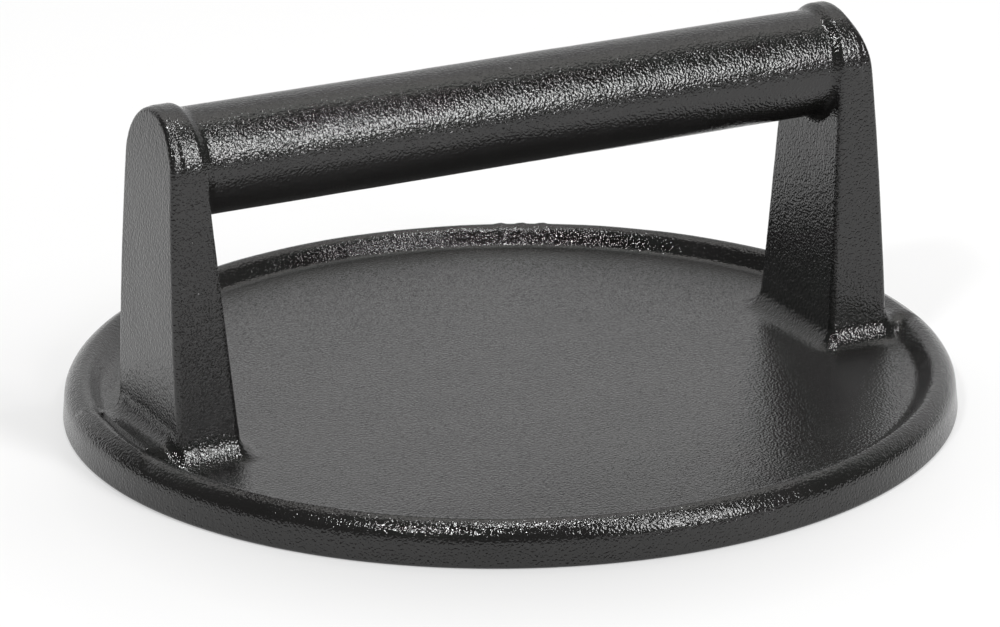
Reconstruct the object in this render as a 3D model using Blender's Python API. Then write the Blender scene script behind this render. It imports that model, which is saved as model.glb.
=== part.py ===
"""Patty press: a heavy round iron plate with a raised rim, and a round grip bar carried by two uprights.

The real press is poured as one grey-iron casting and never comes apart. It is modelled here as the
four features of its foundry pattern, each its own solid: the plate, two uprights and the grip bar.
Metres, +Z up. The origin is the centre of the pressing face, and +X runs along the grip bar.
"""

import math

import bmesh
import bpy

# Driving dimensions
PLATE_RADIUS = 0.0900
PLATE_THICKNESS = 0.0054
RIM_HEIGHT = 0.0086
GRIP_RADIUS = 0.0108
GRIP_HEIGHT = 0.0616
HEAD_RADIUS = 0.0118
UPRIGHT_FOOT_WIDTH = 0.0308

# Plate and rim, as radii and heights of the turned profile
FOOT_DRAFT = 0.0004
FOOT_EDGE_RADIUS = 0.0008
BEAD_BASE_HEIGHT = 0.0043
BEAD_WIDTH = 0.0040
LIP_RADIUS = 0.0013
RIM_SLOPE = math.radians(52)
FLOOR_FILLET = 0.0020
PLATE_SEGMENTS = 96

# Uprights: distances of the two big faces from the plate's centre
OUTER_FACE_FOOT = 0.0791
OUTER_FACE_HEAD = 0.0773
HEAD_LEAN = 0.0009
INNER_FACE_FOOT = 0.0656
INNER_FACE_HEAD = 0.0697
FOOT_FILLET = 0.0045
CORNER_RADIUS = 0.0016
CORNER_STEPS = 4
HEAD_STEPS = 9

# Grip bar
COLLAR_FLARE = 0.0007
FLARE_LENGTH = 0.0020
GRIP_SEGMENTS = 48

# Room left between neighbouring solids
GAP = 0.0003

ARC_STEPS = 5
CUTTER_OVERHANG = 0.02

# Semi-gloss black coat over cast iron
COAT_COLOUR = (0.022, 0.022, 0.023, 1.0)
COAT_ROUGHNESS = 0.38
COAT_METALLIC = 0.0


def clear_scene():
    for obj in list(bpy.data.objects):
        bpy.data.objects.remove(obj)


def coat_material(name):
    material = bpy.data.materials.new(name)
    material.use_nodes = True
    shader = material.node_tree.nodes["Principled BSDF"]
    shader.inputs["Base Color"].default_value = COAT_COLOUR
    shader.inputs["Roughness"].default_value = COAT_ROUGHNESS
    shader.inputs["Metallic"].default_value = COAT_METALLIC
    return material


def object_from(bm, name, parent):
    """Turns a bmesh into a named object with its own coat."""
    bmesh.ops.recalc_face_normals(bm, faces=bm.faces)
    mesh = bpy.data.meshes.new(name)
    bm.to_mesh(mesh)
    bm.free()
    mesh.shade_smooth()
    mesh.set_sharp_from_angle(angle=math.radians(35))
    obj = bpy.data.objects.new(name, mesh)
    bpy.context.scene.collection.objects.link(obj)
    obj.data.materials.append(coat_material(name + "_coat"))
    obj.parent = parent
    return obj


def arc(centre, radius, start_deg, end_deg, steps=ARC_STEPS):
    """Points of an arc in the (radius, height) plane, both ends included."""
    angles = [math.radians(start_deg + (end_deg - start_deg) * i / steps) for i in range(steps + 1)]
    return [(centre[0] + radius * math.cos(a), centre[1] + radius * math.sin(a)) for a in angles]


def bead_arc():
    """The rim's outer shoulder: a quarter ellipse from the wall up to the crest."""
    centre_r = PLATE_RADIUS - BEAD_WIDTH
    rise = RIM_HEIGHT - BEAD_BASE_HEIGHT
    angles = [math.radians(90 * i / (ARC_STEPS + 2)) for i in range(ARC_STEPS + 3)]
    return [(centre_r + BEAD_WIDTH * math.cos(a), BEAD_BASE_HEIGHT + rise * math.sin(a)) for a in angles]


def rim_inner_side():
    """The rim from its crest down to the floor: a rounded lip, a slope and a concave fillet."""
    crest_r = PLATE_RADIUS - BEAD_WIDTH
    slope_deg = math.degrees(RIM_SLOPE)
    lip = arc((crest_r, RIM_HEIGHT - LIP_RADIUS), LIP_RADIUS, 90, 90 + slope_deg)[1:]
    lip_drop = LIP_RADIUS * (1 - math.cos(RIM_SLOPE))
    fillet_rise = FLOOR_FILLET * (1 - math.cos(RIM_SLOPE))
    slope_drop = RIM_HEIGHT - PLATE_THICKNESS - lip_drop - fillet_rise
    foot_r = lip[-1][0] - slope_drop / math.tan(RIM_SLOPE)
    fillet_r = foot_r - FLOOR_FILLET * math.sin(RIM_SLOPE)
    fillet = arc((fillet_r, PLATE_THICKNESS + FLOOR_FILLET), FLOOR_FILLET, slope_deg - 90, -90)
    return lip + fillet


def plate_profile():
    """The plate's half section, from the centre of the pressing face out and back over the rim."""
    foot_r = PLATE_RADIUS + FOOT_DRAFT
    edge = arc((foot_r - FOOT_EDGE_RADIUS, FOOT_EDGE_RADIUS), FOOT_EDGE_RADIUS, -90, 0, 3)
    return [(0.0, 0.0)] + edge + bead_arc() + rim_inner_side() + [(0.0, PLATE_THICKNESS)]


def turned(profile, segments):
    """Spins a half section that starts and ends on the Z axis into a closed solid."""
    bm = bmesh.new()
    verts = [bm.verts.new((r, 0.0, z)) for r, z in profile]
    edges = [bm.edges.new(pair) for pair in zip(verts, verts[1:])]
    bmesh.ops.spin(
        bm,
        geom=verts + edges,
        cent=(0, 0, 0),
        axis=(0, 0, 1),
        angle=math.tau,
        steps=segments,
        use_merge=True,
    )
    bmesh.ops.remove_doubles(bm, verts=bm.verts, dist=1e-6)
    return bm


def make_plate(parent):
    return object_from(turned(plate_profile(), PLATE_SEGMENTS), "press_plate", parent)


def fillet_spread(height):
    """How far a foot fillet stands out from its face at a height above the floor."""
    if height >= FOOT_FILLET:
        return 0.0
    return FOOT_FILLET - math.sqrt(FOOT_FILLET**2 - (FOOT_FILLET - height) ** 2)


def along_upright(z):
    """0 at the plate's floor, 1 at the grip's axis, and more above it."""
    return (z - PLATE_THICKNESS) / (GRIP_HEIGHT - PLATE_THICKNESS)


def outer_face(z):
    """The outer face stands nearly upright and leans in over the head."""
    t = along_upright(z)
    face = OUTER_FACE_FOOT + (OUTER_FACE_HEAD - OUTER_FACE_FOOT) * t**2
    above_axis = max(0.0, z - GRIP_HEIGHT) / HEAD_RADIUS
    return face - HEAD_LEAN * above_axis**2 + fillet_spread(z - PLATE_THICKNESS)


def inner_plane(z):
    """The flat of the inner face, which the grip bar's end meets."""
    return INNER_FACE_FOOT + (INNER_FACE_HEAD - INNER_FACE_FOOT) * along_upright(z)


def inner_face(z):
    return inner_plane(z) - fillet_spread(z - PLATE_THICKNESS)


def shaft_half_width(z):
    """Half the shaft's width: a taper from the foot to the round head."""
    foot = UPRIGHT_FOOT_WIDTH / 2
    return foot + (HEAD_RADIUS - foot) * along_upright(z) + fillet_spread(z - PLATE_THICKNESS)


def corner_growth(z):
    """The corners' rounding grows as the foot fillet spreads, so the fillet keeps its own radius."""
    return 1 + fillet_spread(z - PLATE_THICKNESS) / CORNER_RADIUS


def half_arch(inset):
    """(y, z) down one side of the upright's outline, from the foot to the crown, drawn in by inset."""
    fillet = [PLATE_THICKNESS + FOOT_FILLET * (i / 5) ** 1.6 for i in range(2, 6)]
    shaft = [fillet[-1] + (GRIP_HEIGHT - fillet[-1]) * i / 4 for i in range(1, 4)]
    levels = [PLATE_THICKNESS + GAP] + fillet + shaft
    side = [(shaft_half_width(z) - inset * corner_growth(z), z) for z in levels]
    turns = [math.pi / 2 * i / HEAD_STEPS for i in range(HEAD_STEPS + 1)]
    radius = HEAD_RADIUS - inset
    return side + [(radius * math.cos(a), GRIP_HEIGHT + radius * math.sin(a)) for a in turns]


def upright_arches(side):
    """Nested outlines from the outer face to the inner face, as lists of (x, y, z)."""
    turns = [math.pi / 2 * i / CORNER_STEPS for i in range(CORNER_STEPS + 1)]
    corner = [(CORNER_RADIUS * (1 - math.sin(a)), CORNER_RADIUS * (1 - math.cos(a))) for a in turns]
    layers = [(outer_face, -1, inset, depth) for inset, depth in corner]
    layers += [(inner_face, 1, inset, depth) for inset, depth in reversed(corner)]
    arches = []
    for face, inward, inset, depth in layers:
        half = half_arch(inset)
        outline = half + [(-y, z) for y, z in reversed(half[:-1])]
        arches.append([(side * (face(z) + inward * depth * corner_growth(z)), y, z) for y, z in outline])
    return arches


def make_upright(name, side, parent, cutter):
    """One upright. side is -1 or 1, the end of the grip that it carries."""
    bm = bmesh.new()
    arches = [[bm.verts.new(point) for point in arch] for arch in upright_arches(side)]
    last = len(arches[0]) - 1
    for near, far in zip(arches, arches[1:]):
        for i in range(last):
            bm.faces.new((near[i], near[i + 1], far[i + 1], far[i]))
    for face in (arches[0], arches[-1]):
        for i in range(last // 2 - 1):
            bm.faces.new((face[i], face[i + 1], face[last - i - 1], face[last - i]))
        bm.faces.new(face[last // 2 - 1 : last // 2 + 2])
    bm.faces.new([arch[0] for arch in arches] + [arch[-1] for arch in reversed(arches)])
    upright = object_from(bm, name, parent)
    seat = upright.modifiers.new("seat_against_rim", "BOOLEAN")
    seat.operation = "DIFFERENCE"
    seat.solver = "EXACT"
    seat.object = cutter
    return upright


def make_rim_cutter():
    """The rim's inner side, moved in by the gap, as a ring that trims the uprights' feet."""
    wall = [(r - GAP, z + GAP) for r, z in rim_inner_side()]
    crest = (PLATE_RADIUS - BEAD_WIDTH, RIM_HEIGHT + GAP)
    outside = PLATE_RADIUS + CUTTER_OVERHANG
    ring = [(wall[-1][0], -CUTTER_OVERHANG), (outside, -CUTTER_OVERHANG), (outside, crest[1]), crest] + wall
    bm = bmesh.new()
    verts = [bm.verts.new((r, 0.0, z)) for r, z in ring]
    edges = [bm.edges.new((verts[i - 1], verts[i])) for i in range(len(verts))]
    bmesh.ops.spin(
        bm,
        geom=verts + edges,
        cent=(0, 0, 0),
        axis=(0, 0, 1),
        angle=math.tau,
        steps=PLATE_SEGMENTS,
        use_merge=True,
    )
    bmesh.ops.remove_doubles(bm, verts=bm.verts, dist=1e-6)
    cutter = object_from(bm, "rim_cutter", None)
    cutter.hide_render = True
    cutter.display_type = "WIRE"
    return cutter


def grip_rings():
    """(distance from the bar's end, radius) of the grip's rings, from one end to its middle."""
    rings = []
    for i in range(ARC_STEPS):
        share = i / (ARC_STEPS - 1)
        flare = COLLAR_FLARE * (1 - math.sin(share * math.pi / 2))
        rings.append((FLARE_LENGTH * share, GRIP_RADIUS + flare))
    return rings


def make_grip_bar(parent):
    """The round bar. Its ends follow the uprights' slightly slanted inner faces."""
    bm = bmesh.new()
    rings = []
    for side in (-1, 1):
        half = []
        for inset, radius in grip_rings():
            ring = []
            for i in range(GRIP_SEGMENTS):
                angle = math.tau * i / GRIP_SEGMENTS
                y = radius * math.cos(angle)
                z = GRIP_HEIGHT + radius * math.sin(angle)
                ring.append(bm.verts.new((side * (inner_plane(z) - GAP - inset), y, z)))
            half.append(ring)
        rings += half if side < 0 else half[::-1]
    for near, far in zip(rings, rings[1:]):
        for i in range(GRIP_SEGMENTS):
            bm.faces.new((near[i - 1], near[i], far[i], far[i - 1]))
    bm.faces.new(rings[0])
    bm.faces.new(rings[-1])
    return object_from(bm, "grip_bar", parent)


def main():
    clear_scene()
    casting = bpy.data.objects.new("casting", None)
    bpy.context.scene.collection.objects.link(casting)
    cutter = make_rim_cutter()
    make_plate(casting)
    make_upright("left_upright", -1, casting, cutter)
    make_upright("right_upright", 1, casting, cutter)
    make_grip_bar(casting)


main()
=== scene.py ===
"""Looks of the cast-iron patty press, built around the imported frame. Metres, +Z up."""

import itertools
import math

import bmesh
import bpy
import numpy as np
from mathutils import Matrix, Vector


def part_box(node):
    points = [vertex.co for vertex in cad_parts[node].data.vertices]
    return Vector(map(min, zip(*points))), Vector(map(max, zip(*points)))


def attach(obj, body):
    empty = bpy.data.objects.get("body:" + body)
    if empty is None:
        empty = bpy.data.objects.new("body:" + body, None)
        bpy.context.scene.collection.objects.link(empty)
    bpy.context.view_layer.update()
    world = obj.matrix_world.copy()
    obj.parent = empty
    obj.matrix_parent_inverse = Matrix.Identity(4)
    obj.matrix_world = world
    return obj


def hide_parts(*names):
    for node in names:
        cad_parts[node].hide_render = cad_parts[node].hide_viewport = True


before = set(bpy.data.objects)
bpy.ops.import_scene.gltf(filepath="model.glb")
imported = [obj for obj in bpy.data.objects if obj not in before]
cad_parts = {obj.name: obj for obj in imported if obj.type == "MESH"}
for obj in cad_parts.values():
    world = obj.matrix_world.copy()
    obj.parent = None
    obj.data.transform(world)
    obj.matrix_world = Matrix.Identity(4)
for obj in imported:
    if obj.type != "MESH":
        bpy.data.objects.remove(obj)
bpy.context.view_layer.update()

MM = 0.001

# The plate. Its rim stands a little above the frame's, which gives the lip its crisp line.
PLATE_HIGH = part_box("press_plate")[1]
RIM_RISE = 0.25 * MM
RIM_HEIGHT = PLATE_HIGH[2] + RIM_RISE
FOOT_RADIUS = PLATE_HIGH[0]
WALL_INSET = 0.4 * MM
WALL_HEIGHT = 4.3 * MM
WALL_DRAFT = math.radians(5.3)
BEAD_RADIUS = 4.0 * MM
FOOT_EDGE = 0.7 * MM
FLOOR_HEIGHT = 5.0 * MM
SLOPE = math.radians(49)
SLOPE_TOP = 85.45 * MM
LIP_ROUND = 1.1 * MM
FLOOR_ROUND = 0.7 * MM
BEAD_LOW = RIM_HEIGHT - BEAD_RADIUS
BEAD_CENTRE = FOOT_RADIUS - (BEAD_RADIUS + BEAD_LOW * math.sin(WALL_DRAFT)) / math.cos(WALL_DRAFT)

# The uprights and the grip. Pairs run from the foot to the head, except the lean: left, then right.
GRIP_HEIGHT = 61.6 * MM
GRIP_RADIUS = 10.8 * MM
HEAD_RADIUS = 11.8 * MM
TAPER = math.radians(3.66)
OUTER_FACE = (79.1 * MM, 77.3 * MM)
INNER_FACE = (65.6 * MM, 69.7 * MM)
HEAD_LEAN = (0.5 * MM, 2.4 * MM)
CORNER_RADIUS = (1.2 * MM, 0.9 * MM)
FOOT_FILLET = 4.5 * MM
GRIP_FILLET = 1.9 * MM
GRIP_SEAM = 65.2 * MM
GRIP_SINK = 4 * MM

# The iron between each upright's outer face and the rim
WEB_HEIGHT = 7.9 * MM
WEB_HALF_WIDTH = 13.5 * MM
WEB_ROUND = 2.4 * MM
WEB_FILLET = 4.0 * MM

# Each upright's piece takes in its foot flare and a stub of the grip, and its hidden base is sunk
UPRIGHT_X = (58 * MM, 88 * MM)
UPRIGHT_Y = (-24 * MM, 24 * MM)
UPRIGHT_Z = (0.5 * MM, 77 * MM)
FLARE_REACH = 5.6 * MM
BASE_HEIGHT = 2.5 * MM
BASE_SINK = 0.03 * MM
STUB_LENGTH = 1.2 * MM
STUB_LOWEST = 30 * MM
FLARE_LENGTH = 5.2 * MM

# Slow unevenness of the as-cast surface
WAVE_COUNT = 14
WAVE_HEIGHT = 0.05 * MM
WAVE_GAIN = 1.9
WAVE_LENGTHS = (11 * MM, 34 * MM)
WAVE_FADE_START = 0.4 * MM
WAVE_FADE_LENGTH = 2 * MM

# Cast pimples on top of the rim at the back
PIMPLE_ANGLES = [math.radians(a) for a in (65, 62, 59)]
PIMPLE_RADIUS = 87 * MM
PIMPLE_SPREAD = 0.9 * MM
PIMPLE_HEIGHT = 0.3 * MM

# The painted shadow in the floor's glow: its middle is under the front half of the press
PAINTED_SHADOW_CENTRE = (-15.4 * MM, -31.5 * MM, 0)
PAINTED_SHADOW_REACH = 200 * MM

# The camera, from the front towards +X and up from the table
VIEW_AZIMUTH = math.radians(-26.125)
VIEW_ELEVATION = math.radians(20.462)
VIEW_ROLL = math.radians(-0.742)
VIEW_DISTANCE = 1.1216
AIM_LEFT = math.radians(0.1055)
AIM_UP = math.radians(0.9054)

rng = np.random.default_rng(7)
wave_directions = rng.normal(size=(WAVE_COUNT, 3))
wave_directions /= np.linalg.norm(wave_directions, axis=1)[:, None]
wave_numbers = math.tau / rng.uniform(*WAVE_LENGTHS, size=WAVE_COUNT)
wave_phases = rng.uniform(0, math.tau, size=WAVE_COUNT)


def union_round(a, b, radius):
    """Joins two distances with a fillet of the given radius."""
    reach = np.hypot(np.maximum(radius - a, 0), np.maximum(radius - b, 0))
    return np.maximum(radius, np.minimum(a, b)) - reach


def meet_round(a, b, radius):
    """Intersects two distances with a rounded edge of the given radius."""
    return -union_round(-a, -b, radius)


def plate_distance(x, y, z):
    """Round plate with a drafted wall, a rounded rim and a recess with a sloping side."""
    r = np.hypot(x, y)
    wall = (r - FOOT_RADIUS) * math.cos(WALL_DRAFT) + z * math.sin(WALL_DRAFT)
    puck = meet_round(wall, z - RIM_HEIGHT, BEAD_RADIUS)
    slope = (SLOPE_TOP - r) * math.sin(SLOPE) + (z - RIM_HEIGHT) * math.cos(SLOPE)
    recess = union_round(z - FLOOR_HEIGHT, slope, FLOOR_ROUND)
    return meet_round(meet_round(puck, recess, LIP_ROUND), -z, FOOT_EDGE)


def upright_distance(x, y, z):
    """Both uprights: tapering posts with round heads that lean in at the top."""
    t = (z - FLOOR_HEIGHT) / (GRIP_HEIGHT - FLOOR_HEIGHT)
    above = np.maximum(z - GRIP_HEIGHT, 0) / HEAD_RADIUS
    lean = np.where(x < 0, *HEAD_LEAN) * above**2
    outer = OUTER_FACE[0] + (OUTER_FACE[1] - OUTER_FACE[0]) * t * np.abs(t) - lean
    inner = INNER_FACE[0] + (INNER_FACE[1] - INNER_FACE[0]) * t
    faces = np.maximum(np.abs(x) - outer, inner - np.abs(x))
    side = np.abs(y) * math.cos(TAPER) + (z - GRIP_HEIGHT) * math.sin(TAPER)
    head = np.hypot(y, z - GRIP_HEIGHT)
    over_head = (z - GRIP_HEIGHT) * math.cos(TAPER) > np.abs(y) * math.sin(TAPER)
    outline = np.where(over_head, head, side) - HEAD_RADIUS
    corner = CORNER_RADIUS[0] + (CORNER_RADIUS[1] - CORNER_RADIUS[0]) * np.clip(t, 0, 1)
    return meet_round(faces, outline, corner)


def web_distance(x, y, z):
    """Iron that fills the groove between each upright's outer face and the rim."""
    top = meet_round(np.abs(y) - WEB_HALF_WIDTH, z - WEB_HEIGHT, WEB_ROUND)
    ends = np.maximum(INNER_FACE[1] - np.abs(x), np.hypot(x, y) - FOOT_RADIUS + WALL_INSET + BEAD_RADIUS)
    return np.maximum(top, ends)


def grip_distance(x, y, z):
    """Round bar that ends inside the heads."""
    bar = np.hypot(y, z - GRIP_HEIGHT) - GRIP_RADIUS
    return np.maximum(bar, np.abs(x) - OUTER_FACE[1] + GRIP_SINK)


def unevenness(x, y, z):
    """Slow waves that fade out at the flat pressing face, less the pimples on the rim."""
    total = 0
    for direction, number, phase in zip(wave_directions, wave_numbers, wave_phases):
        total = total + np.sin(number * (direction[0] * x + direction[1] * y + direction[2] * z) + phase)
    fade = np.clip((z - WAVE_FADE_START) / WAVE_FADE_LENGTH, 0, 1)
    height = WAVE_HEIGHT * total / WAVE_COUNT * WAVE_GAIN * fade * fade * (3 - 2 * fade)
    for angle in PIMPLE_ANGLES:
        along = x * math.cos(angle) + y * math.sin(angle)
        across = x * math.sin(angle) - y * math.cos(angle)
        away = ((along - PIMPLE_RADIUS) ** 2 + across**2 + (z - RIM_HEIGHT) ** 2) / PIMPLE_SPREAD**2
        height = height - PIMPLE_HEIGHT * np.exp(-away)
    return height


def casting_distance(x, y, z, sink=0.0):
    """The whole casting. sink lowers the plate alone."""
    plate = union_round(plate_distance(x, y, z) + sink, web_distance(x, y, z), WEB_FILLET)
    foot = union_round(plate, upright_distance(x, y, z), FOOT_FILLET)
    return union_round(foot, grip_distance(x, y, z), GRIP_FILLET) + unevenness(x, y, z)


def plate_surface(x, y, z):
    return plate_distance(x, y, z) + unevenness(x, y, z)


def gradient(distance, points, step=0.02 * MM):
    """Slope of a distance at each point."""
    slopes = []
    for axis in range(3):
        shift = np.zeros(3)
        shift[axis] = step
        slopes.append(distance(*(points + shift).T) - distance(*(points - shift).T))
    return np.stack(slopes, axis=1) / (2 * step)


def onto_surface(distance, points, rounds=4, most=0.4 * MM):
    """Moves points along the gradient onto the zero surface."""
    for _ in range(rounds):
        slope = gradient(distance, points)
        step = distance(*points.T) / np.maximum((slope**2).sum(axis=1), 0.05)
        points = points - np.clip(step, -most, most)[:, None] * slope
    return points


def net_surface(distance, low, high, cell):
    """Closed quads around the zero surface inside a box: one vertex in each cell that it crosses."""
    axes = [np.arange(a, b + cell, cell) for a, b in zip(low, high)]
    values = distance(*np.meshgrid(*axes, indexing="ij"))
    inside = values < 0
    shape = tuple(n - 1 for n in inside.shape)
    filled = np.zeros(shape, dtype=int)
    for corner in itertools.product((0, 1), repeat=3):
        filled += inside[tuple(slice(c, c + n) for c, n in zip(corner, shape))]
    crossed = (filled > 0) & (filled < 8)
    index = np.full(shape, -1)
    index[crossed] = np.arange(crossed.sum())
    spots = np.argwhere(crossed)
    points = np.stack([axes[a][spots[:, a]] + cell / 2 for a in range(3)], axis=1)
    quads = []
    for axis in range(3):
        b, c = (axis + 1) % 3, (axis + 2) % 3
        near = np.take(inside, range(inside.shape[axis] - 1), axis=axis)
        far = np.take(inside, range(1, inside.shape[axis]), axis=axis)
        for leaving in (True, False):
            edges = np.argwhere((near == leaving) & (far != leaving))
            around = []
            for back_b, back_c in ((1, 1), (0, 1), (0, 0), (1, 0)):
                cells = edges.copy()
                cells[:, b] -= back_b
                cells[:, c] -= back_c
                around.append(index[tuple(cells.T)])
            quads.append(np.stack(around if leaving else around[::-1], axis=1))
    return points, np.concatenate(quads)


def evened(distance, points, quads, rounds=3):
    """Spreads the vertices evenly over the surface."""
    ends = np.concatenate([quads[:, [i, (i + 1) % 4]] for i in range(4)])
    count = np.bincount(ends[:, 0], minlength=len(points))[:, None]
    for _ in range(rounds):
        totals = [np.bincount(ends[:, 0], points[ends[:, 1], a], len(points)) for a in range(3)]
        middle = np.stack(totals, axis=1) / count
        points = onto_surface(distance, 0.5 * points + 0.5 * middle, rounds=2)
    return points


def ring_faces(rings, around):
    """Quads between each ring of vertices and the next."""
    faces = []
    for start in range(0, (rings - 1) * around, around):
        for i in range(around):
            j = (i + 1) % around
            faces.append((start + i, start + j, start + around + j, start + around + i))
    return faces


def ring_caps(rings, around):
    """The flat faces that close the first ring and the last."""
    last = (rings - 1) * around
    return [tuple(range(around))[::-1], tuple(range(last, last + around))]


def new_mesh(name, points, faces):
    mesh = bpy.data.meshes.new(name)
    mesh.from_pydata(points.tolist(), [], faces)
    mesh.update()
    return mesh


def add_piece(name, mesh, node, material):
    """Adds one visual piece, shaded with the casting's own normals so that the seams don't show."""
    mesh.shade_smooth()
    points = np.empty(len(mesh.vertices) * 3)
    mesh.vertices.foreach_get("co", points)
    normals = gradient(casting_distance, points.reshape(-1, 3))
    normals /= np.maximum(np.linalg.norm(normals, axis=1), 1e-6)[:, None]
    mesh.normals_split_custom_set_from_vertices(normals.tolist())
    piece = bpy.data.objects.new(name, mesh)
    bpy.context.scene.collection.objects.link(piece)
    mesh.materials.append(material)
    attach(piece, "root")
    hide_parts(node)


def plate_profile():
    """Half section near the plate's surface: along the pressing face, over the rim, back to the centre."""
    centre = 0.01 * MM
    under = [(centre, 0)] + [(r * MM, 0) for r in (8, 24, 40, 56, 70, 80, 86, 88.5, 89.4)]
    edge = [(90.0 * MM, 0.1 * MM), (90.25 * MM, 0.35 * MM), (90.35 * MM, 0.7 * MM)]
    heights = [h * MM for h in (1.2, 1.9, 2.6, 3.3, 3.9, 4.4)]
    wall = [(FOOT_RADIUS - WALL_INSET * h / WALL_HEIGHT, h) for h in heights]
    turns = [math.radians(a) for a in range(7, 93, 5)]
    bead = [(BEAD_CENTRE + BEAD_RADIUS * math.cos(a), BEAD_LOW + BEAD_RADIUS * math.sin(a)) for a in turns]
    lip_steps = ((0.3, 0.02), (0.12, 0.08), (-0.04, 0.18), (-0.17, 0.3))
    lip = [(SLOPE_TOP + out * MM, RIM_HEIGHT - down * MM) for out, down in lip_steps]
    depth = RIM_HEIGHT - FLOOR_HEIGHT
    slope_steps = (0.12, 0.17, 0.24, 0.36, 0.5, 0.64, 0.76, 0.83, 0.89, 0.94, 0.98)
    slope = [(SLOPE_TOP - depth * t / math.tan(SLOPE), RIM_HEIGHT - depth * t) for t in slope_steps]
    slope_foot = SLOPE_TOP - depth / math.tan(SLOPE)
    fillet = [(slope_foot - r * MM, FLOOR_HEIGHT) for r in (0.05, 0.2, 0.35, 0.6, 1.2)]
    floor_radii = [*np.linspace(slope_foot - 2 * MM, 2.5 * MM, 40), centre]
    floor = [(r, FLOOR_HEIGHT) for r in floor_radii]
    return np.array(under + edge + wall + bead + lip + slope + fillet + floor)


def plate_mesh(segments=600):
    """The plate, spun from its half section and moved onto the uneven surface."""
    profile = plate_profile()
    flat = np.stack([profile[:, 0], np.zeros(len(profile)), profile[:, 1]], axis=1)
    profile = onto_surface(plate_distance, flat)[:, [0, 2]]
    angles = math.tau * np.arange(segments) / segments
    rings = []
    for r, z in profile:
        rings.append(np.stack([r * np.cos(angles), r * np.sin(angles), np.full(segments, z)], axis=1))
    points = onto_surface(plate_surface, np.concatenate(rings))
    faces = ring_faces(len(profile), segments) + ring_caps(len(profile), segments)
    return new_mesh("press_plate_cast", points, faces)


def upright_mesh(name, side, cell=0.55 * MM):
    """One upright with its foot flare and a stub of the grip. Its hidden base is sunk in the plate."""

    def piece_distance(x, y, z):
        whole = casting_distance(x, y, z, sink=BASE_SINK)
        near = np.maximum(upright_distance(x, y, z) - FLARE_REACH, BASE_HEIGHT - z)
        inmost = GRIP_SEAM - np.where(z < STUB_LOWEST, FLARE_LENGTH, STUB_LENGTH)
        return np.maximum(np.maximum(whole, near), inmost - np.abs(x))

    near_x, far_x = sorted(side * x for x in UPRIGHT_X)
    low = (near_x, UPRIGHT_Y[0], UPRIGHT_Z[0])
    high = (far_x, UPRIGHT_Y[1], UPRIGHT_Z[1])
    points, quads = net_surface(piece_distance, low, high, cell)
    points = evened(piece_distance, onto_surface(piece_distance, points), quads)
    mesh = new_mesh(name, points, quads.tolist())
    bm = bmesh.new()
    bm.from_mesh(mesh)
    trim_stub(bm, side)
    bm.to_mesh(mesh)
    bm.free()
    return mesh


def trim_stub(bm, side):
    """Cuts the grip's stub off square at the seam and closes it."""
    stub = [f for f in bm.faces if f.calc_center_median().z > GRIP_HEIGHT - 1.3 * GRIP_RADIUS]
    geom = stub + list({e for f in stub for e in f.edges}) + list({v for f in stub for v in f.verts})
    cut = bmesh.ops.bisect_plane(
        bm,
        geom=geom,
        plane_co=(side * GRIP_SEAM, 0, 0),
        plane_no=(-side, 0, 0),
        clear_outer=True,
    )
    rim = [e for e in cut["geom_cut"] if isinstance(e, bmesh.types.BMEdge)]
    bmesh.ops.contextual_create(bm, geom=rim)


def grip_mesh(around=144, spacing=0.9 * MM):
    """The bar between the two seams, closed by a flat face at each."""
    count = int(2 * GRIP_SEAM / spacing)
    angles = math.tau * np.arange(around) / around
    stations = np.linspace(-GRIP_SEAM, GRIP_SEAM, count)
    rings = []
    for x in stations:
        ring_y = GRIP_RADIUS * np.cos(angles)
        ring_z = GRIP_HEIGHT + GRIP_RADIUS * np.sin(angles)
        rings.append(np.stack([np.full(around, x), ring_y, ring_z], axis=1))
    points = onto_surface(casting_distance, np.concatenate(rings))
    points[:, 0] = np.repeat(stations, around)
    faces = ring_faces(count, around) + ring_caps(count, around)
    return new_mesh("grip_bar_cast", points, faces)


class Nodes:
    """Short calls for building a material's node tree."""

    def __init__(self, name):
        self.material = bpy.data.materials.new(name)
        self.material.use_nodes = True
        self.tree = self.material.node_tree
        self.shader = self.tree.nodes["Principled BSDF"]

    def add(self, kind, links=None, **settings):
        node = self.tree.nodes.new(kind)
        for key, value in settings.items():
            setattr(node, key, value)
        for socket, value in (links or {}).items():
            if isinstance(value, bpy.types.NodeSocket):
                self.tree.links.new(value, node.inputs[socket])
            else:
                node.inputs[socket].default_value = value
        return node

    def noise(self, where, scale, detail=2.0, distortion=0.0):
        links = {"Vector": where, "Scale": scale, "Detail": detail, "Distortion": distortion}
        return self.add("ShaderNodeTexNoise", links).outputs["Fac"]

    def ramp(self, value, *stops):
        node = self.add("ShaderNodeValToRGB", {"Fac": value})
        elements = node.color_ramp.elements
        while len(elements) < len(stops):
            elements.new(0.5)
        for element, (position, colour) in zip(elements, stops):
            element.position = position
            element.color = (*colour, 1.0) if isinstance(colour, tuple) else (colour, colour, colour, 1.0)
        return node.outputs["Color"]

    def math(self, operation, a, b=0.0, c=0.0):
        return self.add("ShaderNodeMath", {0: a, 1: b, 2: c}, operation=operation).outputs[0]

    def bump(self, height, strength, distance, normal=None):
        links = {"Height": height, "Strength": strength, "Distance": distance}
        if normal is not None:
            links["Normal"] = normal
        return self.add("ShaderNodeBump", links).outputs["Normal"]


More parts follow.
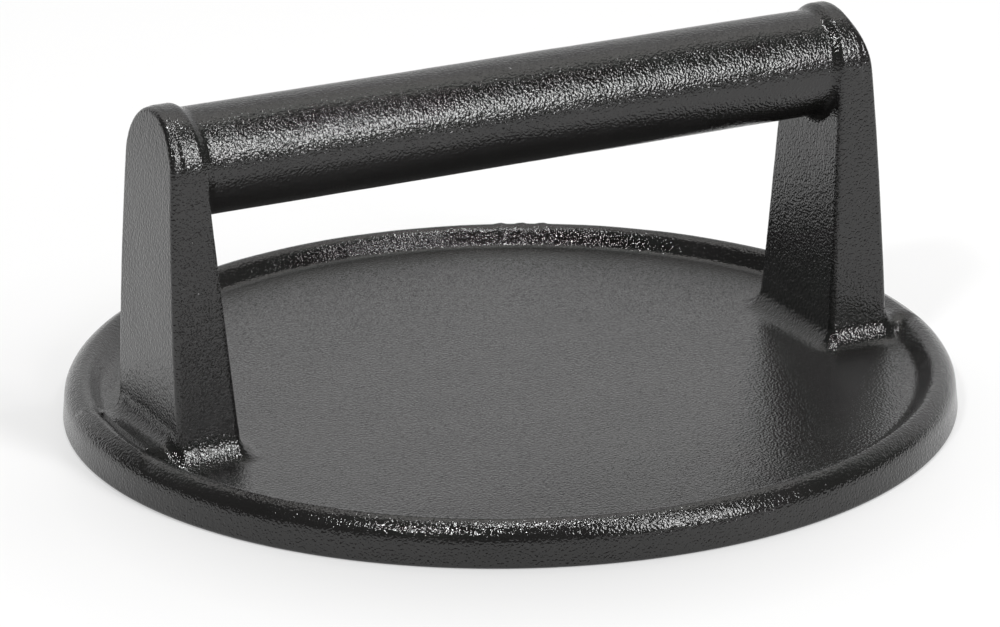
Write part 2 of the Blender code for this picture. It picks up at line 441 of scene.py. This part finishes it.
def black_coat():
    """Semi-gloss black coat over sand-cast iron: orange peel, fine grain, pits and duller patches."""
    n = Nodes("black_coat")
    where = n.add("ShaderNodeTexCoord").outputs["Object"]
    peel = n.noise(where, 1000, detail=1.5, distortion=0.2)
    grain = n.noise(where, 2000, detail=1.0)
    patches = n.noise(where, 45, detail=3.0)
    pits = n.add("ShaderNodeTexVoronoi", {"Vector": where, "Scale": 420.0}).outputs["Distance"]
    pit_depth = n.ramp(pits, (0.0, 0.0), (0.16, 1.0))
    colour = n.ramp(patches, (0.3, (0.0072, 0.0069, 0.0067)), (0.72, (0.0120, 0.0116, 0.0112)))
    n.tree.links.new(colour, n.shader.inputs["Base Color"])
    rough = n.math("MULTIPLY_ADD", grain, 0.08, 0.06)
    rough = n.math("MULTIPLY_ADD", patches, 0.06, rough)
    n.tree.links.new(rough, n.shader.inputs["Roughness"])
    normal = n.bump(peel, 1.0, 0.05 * MM)
    normal = n.bump(grain, 1.0, 0.13 * MM, normal)
    normal = n.bump(pit_depth, 0.4, 0.1 * MM, normal)
    n.tree.links.new(normal, n.shader.inputs["Normal"])
    n.shader.inputs["IOR"].default_value = 1.55
    return n.material


def pale_floor_painted_shadow():
    """A pale sheet that glows a little, less so near the front of the press: a painted shadow in its glow.
    """
    n = Nodes("pale_floor_painted_shadow")
    where = n.add("ShaderNodeTexCoord").outputs["Object"]
    tone = n.ramp(n.noise(where, 3.0), (0.0, 0.34), (1.0, 0.36))
    away = n.add("ShaderNodeVectorMath", {0: where, 1: PAINTED_SHADOW_CENTRE}, operation="DISTANCE")
    reach = n.math("DIVIDE", away.outputs["Value"], PAINTED_SHADOW_REACH)
    # Painted shadow: the floor's glow is dimmed near the front of the press
    glow_with_painted_shadow = n.ramp(reach, (0.27, 0.34), (0.45, 0.50), (0.6, 0.55), (0.8, 0.58))
    n.tree.links.new(glow_with_painted_shadow, n.shader.inputs["Emission Strength"])
    n.tree.links.new(tone, n.shader.inputs["Base Color"])
    n.shader.inputs["Roughness"].default_value = 0.9
    n.shader.inputs["Specular IOR Level"].default_value = 0.1
    n.shader.inputs["Emission Color"].default_value = (1, 1, 1, 1)
    return n.material


def seen_from(azimuth, elevation):
    """Direction from the object, with the azimuth from the front towards +X. Angles in radians."""
    level = math.cos(elevation)
    return Vector((level * math.sin(azimuth), -level * math.cos(azimuth), math.sin(elevation)))


def softbox(name, azimuth, elevation, width, height, radiance, distance=1.6, colour=(1, 1, 1)):
    """A rectangular light placed and sized as the object sees it, with all angles in degrees."""
    place = seen_from(math.radians(azimuth), math.radians(elevation)) * distance
    light = bpy.data.lights.new(name, "AREA")
    light.shape = "RECTANGLE"
    light.size = 2 * distance * math.tan(math.radians(width / 2))
    light.size_y = 2 * distance * math.tan(math.radians(height / 2))
    light.energy = radiance * math.pi * light.size * light.size_y
    light.color = colour
    lamp = bpy.data.objects.new(name, light)
    lamp.location = place + Vector((0, 0, GRIP_HEIGHT / 2))
    lamp.rotation_euler = (-place).to_track_quat("-Z", "Y").to_euler()
    bpy.context.scene.collection.objects.link(lamp)


def add_camera():
    """A long lens from the front left, a little above the press."""
    back = seen_from(VIEW_AZIMUTH, VIEW_ELEVATION)
    level_right = Vector((math.cos(VIEW_AZIMUTH), math.sin(VIEW_AZIMUTH), 0))
    level_up = back.cross(level_right)
    right = math.cos(VIEW_ROLL) * level_right + math.sin(VIEW_ROLL) * level_up
    up = math.cos(VIEW_ROLL) * level_up - math.sin(VIEW_ROLL) * level_right
    # The lens looks above the press's base, so that the whole press is in view
    axis = (up * math.tan(AIM_UP) - right * math.tan(AIM_LEFT) - back).normalized()
    side = (right - axis * right.dot(axis)).normalized()
    camera_data = bpy.data.cameras.new("camera")
    camera_data.sensor_width = 36.0
    camera_data.lens = 199.3
    camera_data.clip_start = 0.05
    camera = bpy.data.objects.new("camera", camera_data)
    turn = Matrix((side, side.cross(axis), -axis)).transposed()
    camera.matrix_world = Matrix.Translation(back * VIEW_DISTANCE) @ turn.to_4x4()
    bpy.context.scene.collection.objects.link(camera)
    bpy.context.scene.camera = camera


def add_studio():
    """A pale floor with a painted shadow in its glow, small key lights, wide soft ones behind and above,
    and a dim room.
    """
    bpy.ops.mesh.primitive_plane_add(size=8.0, location=(0, 0, 0))
    floor = bpy.context.object
    floor.name = "studio_floor"
    floor.data.materials.append(pale_floor_painted_shadow())
    softbox("key_right", 21, 31.5, 12, 30, 17.5)
    softbox("key_left", -52, 48, 7, 6, 90.0)
    softbox("top_right", 29, 61, 6, 5, 45.0)
    softbox("top", 0, 86, 7, 7, 60.0)
    softbox("back_top", 154, 66, 60, 26, 1.35, colour=(1.0, 0.985, 0.955))
    softbox("backdrop", 154, 25, 110, 46, 0.68, distance=2.2)
    world = bpy.data.worlds.new("studio")
    world.use_nodes = True
    world.node_tree.nodes["Background"].inputs["Color"].default_value = (1, 1, 1, 1)
    world.node_tree.nodes["Background"].inputs["Strength"].default_value = 0.10
    bpy.context.scene.world = world
    bpy.context.scene.view_settings.view_transform = "Standard"
    bpy.context.scene.view_settings.look = "None"


def main():
    coat = black_coat()
    add_piece("press_plate_cast", plate_mesh(), "press_plate", coat)
    add_piece("left_upright_cast", upright_mesh("left_upright_cast", -1), "left_upright", coat)
    add_piece("right_upright_cast", upright_mesh("right_upright_cast", 1), "right_upright", coat)
    add_piece("grip_bar_cast", grip_mesh(), "grip_bar", coat)
    add_camera()
    add_studio()


main()
